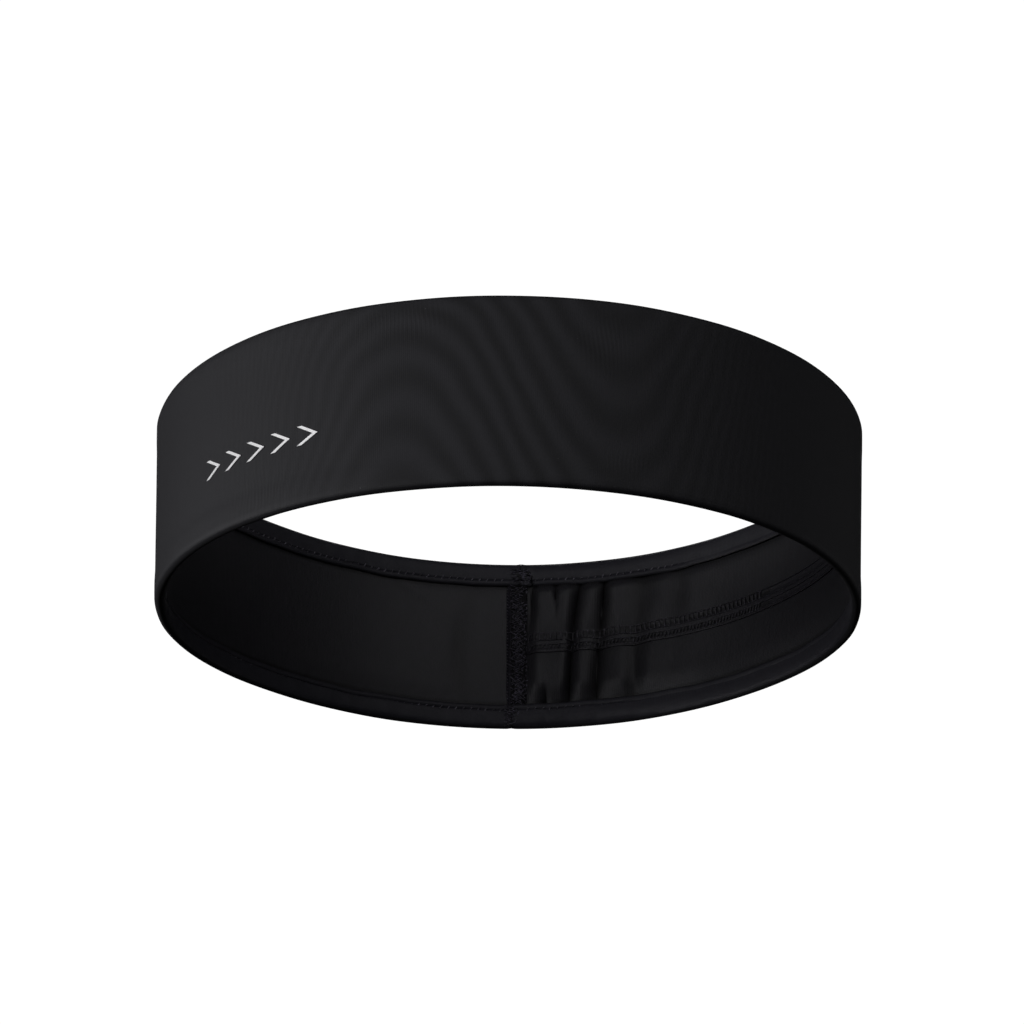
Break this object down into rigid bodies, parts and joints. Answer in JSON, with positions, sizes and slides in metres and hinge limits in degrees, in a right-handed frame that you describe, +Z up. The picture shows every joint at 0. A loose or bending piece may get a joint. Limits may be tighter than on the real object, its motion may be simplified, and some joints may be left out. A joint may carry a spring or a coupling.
{
  "type": "sports headband",
  "caption": "Closed ring of black stretch knit for the head, hemmed on both edges, lined, seamed at the back, with a gathering elastic and reflective chevrons.",
  "frame": {"origin": "centre of the ring on the plane of its lower edge", "axes": "+Z up through the head opening, -Y towards the front of the head, +Y towards the back seam, +X towards the side that has the elastic"},
  "size_m": [0.1874, 0.1874, 0.05],
  "materials": {
    "shell_knit": "fine ribbed stretch knit, matt charcoal black",
    "lining_jersey": "smooth brushed jersey, matt black",
    "black_thread": "polyester sewing thread with a slight gloss",
    "elastic_tape": "narrow knitted elastic, matt black",
    "reflective_film": "heat-pressed silver white film"
  },
  "bodies": {
    "root": {"outer_shell": "shell_knit", "lining": "lining_jersey", "back_seam_allowance": "lining_jersey", "seam_needle_thread": "black_thread", "seam_looper_thread": "black_thread", "upper_hem_serging": "black_thread", "lower_hem_serging": "black_thread", "upper_hem_thread": "black_thread", "lower_hem_thread": "black_thread", "gathering_elastic": "elastic_tape", "elastic_upper_thread": "black_thread", "elastic_lower_thread": "black_thread", "elastic_end_tack": "black_thread", "mark_1": "reflective_film", "mark_2": "reflective_film", "mark_3": "reflective_film", "mark_4": "reflective_film", "mark_5": "reflective_film"}
  },
  "joints": []
}
